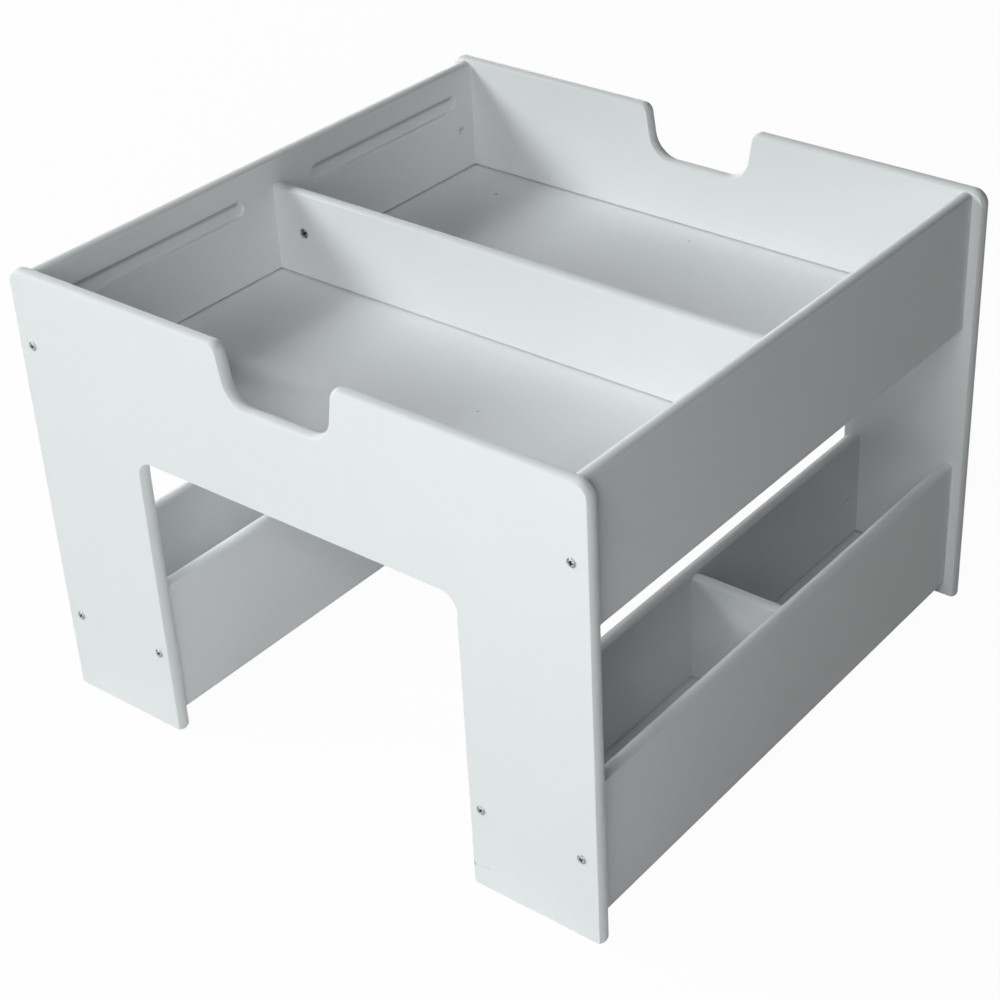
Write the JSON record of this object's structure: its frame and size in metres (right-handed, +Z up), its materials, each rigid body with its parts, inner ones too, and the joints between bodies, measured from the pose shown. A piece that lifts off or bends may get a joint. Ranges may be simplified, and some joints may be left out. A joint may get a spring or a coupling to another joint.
{
  "type": "kids table with storage",
  "caption": "Low white children's table with an open parted tray on top and a parted storage bay along each side of the knee space.",
  "frame": {"origin": "centre of the footprint, on the ground", "axes": "+X across the end panels to the right when facing the front panel, +Y from the front panel to the rear panel, +Z up"},
  "size_m": [0.6, 0.5908, 0.43],
  "materials": {
    "painted_board": "satin white paint",
    "painted_sheet": "satin white paint",
    "zinc_hardware": "bright zinc",
    "bare_wood": "plain"
  },
  "bodies": {
    "root": {"front_end_panel": "painted_board", "rear_end_panel": "painted_board", "left_upper_rail": "painted_board", "right_upper_rail": "painted_board", "tray_divider": "painted_board", "front_tray_floor": "painted_sheet", "rear_tray_floor": "painted_sheet", "left_outer_board": "painted_board", "left_inner_board": "painted_board", "right_outer_board": "painted_board", "right_inner_board": "painted_board", "left_bay_divider": "painted_board", "right_bay_divider": "painted_board", "left_front_bay_floor": "painted_sheet", "left_rear_bay_floor": "painted_sheet", "right_front_bay_floor": "painted_sheet", "right_rear_bay_floor": "painted_sheet", "front_panel_bolts": "zinc_hardware", "rear_panel_bolts": "zinc_hardware", "front_barrel_nuts": "zinc_hardware", "rear_barrel_nuts": "zinc_hardware", "divider_cam_locks": "zinc_hardware", "divider_cam_dowels": "zinc_hardware", "front_wood_dowels": "bare_wood", "rear_wood_dowels": "bare_wood", "tray_divider_dowels": "bare_wood", "left_bay_dowels": "bare_wood", "right_bay_dowels": "bare_wood"}
  },
  "joints": []
}
